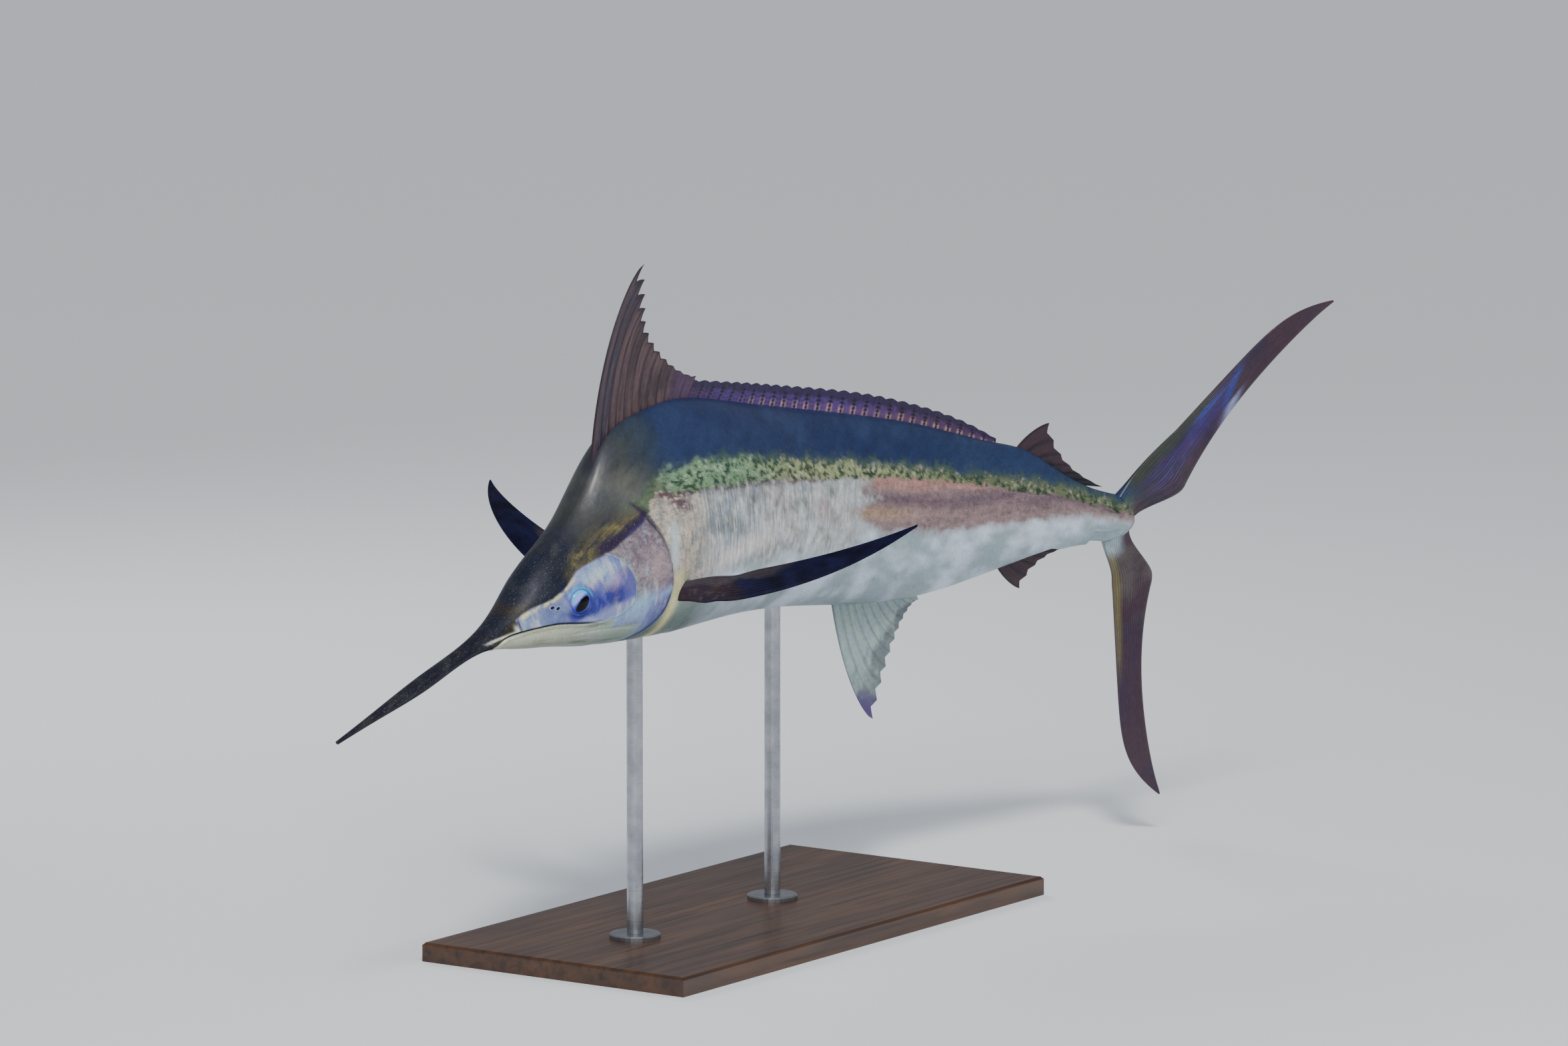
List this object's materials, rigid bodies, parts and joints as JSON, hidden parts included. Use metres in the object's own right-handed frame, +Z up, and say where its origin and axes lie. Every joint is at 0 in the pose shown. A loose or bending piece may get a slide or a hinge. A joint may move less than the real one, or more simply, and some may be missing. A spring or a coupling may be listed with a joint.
{
  "type": "blue marlin",
  "caption": "Life-size leaping blue marlin with a raised dorsal fin, spread pectoral fins and a forked tail, held over a flat base by two rods.",
  "frame": {"origin": "centre of the underside of the stand base, on the floor", "axes": "+Z up out of the floor, -X toward the bill, -Y toward the left side of the fish"},
  "size_m": [3.193, 1.2077, 1.6267],
  "materials": {
    "skin": "wet satin",
    "dark_skin": "wet satin",
    "dark_fin": "satin",
    "violet_fin": "satin",
    "pale_fin": "satin",
    "navy_fin": "satin",
    "eye": "gloss",
    "stand_wood": "satin",
    "stand_steel": "brushed"
  },
  "bodies": {
    "root": {"bill": "dark_skin", "head": "skin", "lower_jaw": "skin", "left_eye": "eye", "right_eye": "eye", "trunk_front": "skin", "trunk_middle": "skin", "trunk_rear": "skin", "tail_stalk": "skin", "first_dorsal_lobe": "dark_fin", "first_dorsal_front_length": "violet_fin", "first_dorsal_middle_length": "violet_fin", "first_dorsal_rear_length": "violet_fin", "second_dorsal_fin": "dark_fin", "second_anal_fin": "dark_fin", "first_anal_fin": "pale_fin", "tail_upper_lobe": "dark_fin", "tail_lower_lobe": "dark_fin", "left_pectoral_fin": "navy_fin", "right_pectoral_fin": "navy_fin", "left_pelvic_fin": "navy_fin", "right_pelvic_fin": "navy_fin", "left_upper_tail_keel": "dark_skin", "left_lower_tail_keel": "dark_skin", "right_upper_tail_keel": "dark_skin", "right_lower_tail_keel": "dark_skin", "stand_base": "stand_wood", "stand_foot_front": "stand_steel", "stand_foot_rear": "stand_steel", "stand_rod_front": "stand_steel", "stand_rod_rear": "stand_steel"}
  },
  "joints": []
}
